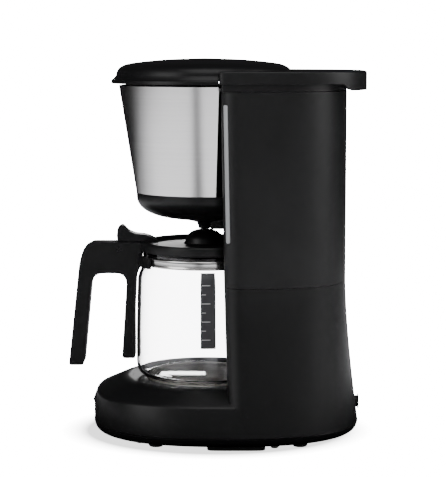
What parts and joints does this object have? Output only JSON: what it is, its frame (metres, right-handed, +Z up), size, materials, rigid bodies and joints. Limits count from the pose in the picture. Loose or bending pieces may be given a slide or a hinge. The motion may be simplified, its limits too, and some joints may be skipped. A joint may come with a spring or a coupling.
{
  "type": "drip coffee maker",
  "caption": "Drip coffee maker: round brew head with a hinged lid over a glass jug on a warming plate, water column behind, jug pulls out forward.",
  "frame": {"origin": "on the ground under the middle of the bounding box, with the jug in place", "axes": "+Z up, -Y towards the jug and its handle, +X to the side with the water-level window"},
  "size_m": [0.182, 0.2484, 0.3135],
  "materials": {
    "black_plastic": "semi-gloss moulded plastic",
    "satin_plastic": "satin moulded plastic",
    "brushed_steel": "brushed round the head",
    "bright_steel": "polished stainless steel",
    "glass": "clear heat-proof glass",
    "clear_plastic": "translucent",
    "milky_plastic": "natural polypropylene",
    "rubber": "soft black rubber",
    "silicone": "silicone hose and seals",
    "aluminium": "as drawn",
    "plated_steel": "zinc plated"
  },
  "bodies": {
    "machine": {"base_plate": "black_plastic", "base_screw_1": "plated_steel", "base_screw_2": "plated_steel", "base_screw_3": "plated_steel", "base_screw_4": "plated_steel", "base_shell": "black_plastic", "brew_funnel": "black_plastic", "check_valve": "milky_plastic", "cold_hose": "silicone", "cord_gland": "rubber", "drip_stop_spring": "plated_steel", "filter_basket": "satin_plastic", "foot_front_left": "rubber", "foot_front_right": "rubber", "foot_rear_left": "rubber", "foot_rear_right": "rubber", "foot_side_left": "rubber", "foot_side_right": "rubber", "head_wall": "black_plastic", "heater_clamp": "plated_steel", "heater_tube": "aluminium", "hose_clamp_1": "plated_steel", "hose_clamp_2": "plated_steel", "hotplate": "bright_steel", "hotplate_gasket": "silicone", "level_window": "clear_plastic", "lid_hinge_pin": "plated_steel", "outlet_spout": "satin_plastic", "riser_hose": "silicone", "steel_panel": "brushed_steel", "switch_housing": "black_plastic", "tank_housing": "satin_plastic", "thermal_fuse": "clear_plastic", "thermostat": "aluminium", "top_frame": "satin_plastic", "water_tank": "milky_plastic"},
    "brew_lid": {"lid": "black_plastic"},
    "jug": {"jug_glass": "glass", "jug_strap": "bright_steel", "jug_handle": "black_plastic", "jug_lid": "black_plastic", "jug_lid_pin": "plated_steel"},
    "drip_plug": {"drip_stop": "satin_plastic", "drip_stop_seal": "silicone"},
    "rocker": {"switch_rocker": "satin_plastic"},
    "valve_ball": {"check_ball": "bright_steel"}
  },
  "joints": [
    {"name": "lid_hinge", "type": "hinge", "parent": "machine", "child": "brew_lid", "pos_m": [0, 0.054, 0.3026], "axis": [-1, 0, 0], "range_deg": [0, 95]},
    {"name": "jug_pull", "type": "slide", "parent": "machine", "child": "jug", "axis": [0, -0.9925, 0.1219], "range_m": [0, 0.2]},
    {"name": "drip_stop_lift", "type": "slide", "parent": "machine", "child": "drip_plug", "axis": [0, 0, 1], "range_m": [0, 0.003], "stiffness_N_per_m": 250, "springref_m": -0.003, "deforming": ["drip_stop_spring"]},
    {"name": "switch_rock", "type": "hinge", "parent": "machine", "child": "rocker", "pos_m": [0, -0.1003, 0.0235], "axis": [-1, 0, 0], "range_deg": [0, 14]},
    {"name": "check_ball_lift", "type": "slide", "parent": "machine", "child": "valve_ball", "axis": [0, 0, 1], "range_m": [0, 0.002]}
  ]
}
